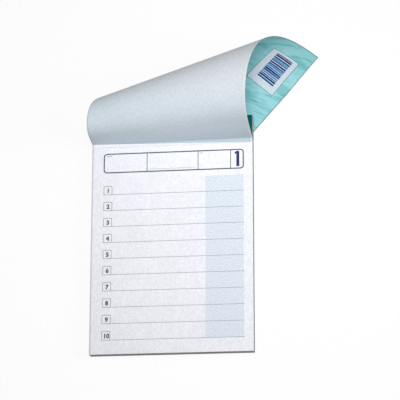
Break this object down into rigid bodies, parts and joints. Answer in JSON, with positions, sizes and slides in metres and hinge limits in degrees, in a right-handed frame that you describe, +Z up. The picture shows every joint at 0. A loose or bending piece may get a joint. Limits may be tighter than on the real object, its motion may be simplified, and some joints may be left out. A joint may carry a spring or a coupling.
{
  "type": "triplicate order book",
  "caption": "Head-bound triplicate order book: a pad of carbonless sets with perforated leaves, its card cover rolled back over the head and tucked under the pad.",
  "frame": {"origin": "centre of the footprint, on the surface that the book lies on", "axes": "+X to the reader's right across the page, +Y up the page towards the binding, +Z up"},
  "size_m": [0.1444, 0.1932, 0.0565],
  "materials": {
    "white_paper": "matte",
    "yellow_paper": "matte",
    "pink_paper": "matte",
    "pad_paper": "matte",
    "buff_card": "matte",
    "cover_card": "satin",
    "grey_board": "matte",
    "green_tape": "matte",
    "steel_wire": "satin"
  },
  "bodies": {
    "root": {"front_cover": "cover_card", "binding_tape": "green_tape", "back_board": "grey_board", "staple_left": "steel_wire", "staple_right": "steel_wire", "set_01_stub": "white_paper", "set_02": "pad_paper", "set_03": "pad_paper", "set_04": "pad_paper", "set_05": "pad_paper", "set_06": "pad_paper", "set_07": "pad_paper", "set_08": "pad_paper", "set_09": "pad_paper", "set_10": "pad_paper", "set_11": "pad_paper", "set_12": "pad_paper", "set_13": "pad_paper", "set_14": "pad_paper", "set_15": "pad_paper", "set_16": "pad_paper", "set_17": "pad_paper", "set_18": "pad_paper", "set_19": "pad_paper", "set_20": "pad_paper", "set_21": "pad_paper", "set_22": "pad_paper", "set_23": "pad_paper", "set_24": "pad_paper", "set_25": "pad_paper", "set_26": "pad_paper", "set_27": "pad_paper", "set_28": "pad_paper", "set_29": "pad_paper", "set_30": "pad_paper", "set_31": "pad_paper", "set_32": "pad_paper", "set_33": "pad_paper", "set_34": "pad_paper", "set_35": "pad_paper"},
    "writing_shield": {"writing_shield": "buff_card"},
    "triplicate_leaf": {"triplicate_leaf": "pink_paper"},
    "duplicate_leaf": {"duplicate_leaf": "yellow_paper"},
    "original_leaf": {"original_leaf": "white_paper"}
  },
  "joints": [
    {"name": "triplicate_turn", "type": "hinge", "parent": "root", "child": "triplicate_leaf", "pos_m": [-0.02116, 0.03611, 0.00673], "axis": [-1, 0, 0], "range_deg": [0, 30]},
    {"name": "duplicate_turn", "type": "hinge", "parent": "triplicate_leaf", "child": "duplicate_leaf", "pos_m": [-0.02116, 0.03611, 0.00678], "axis": [-1, 0, 0], "range_deg": [0, 30]},
    {"name": "original_turn", "type": "hinge", "parent": "duplicate_leaf", "child": "original_leaf", "pos_m": [-0.02116, 0.03611, 0.00683], "axis": [-1, 0, 0], "range_deg": [0, 30]},
    {"name": "shield_slide", "type": "slide", "parent": "root", "child": "writing_shield", "axis": [0, -1, 0], "range_m": [0, 0.11]}
  ]
}
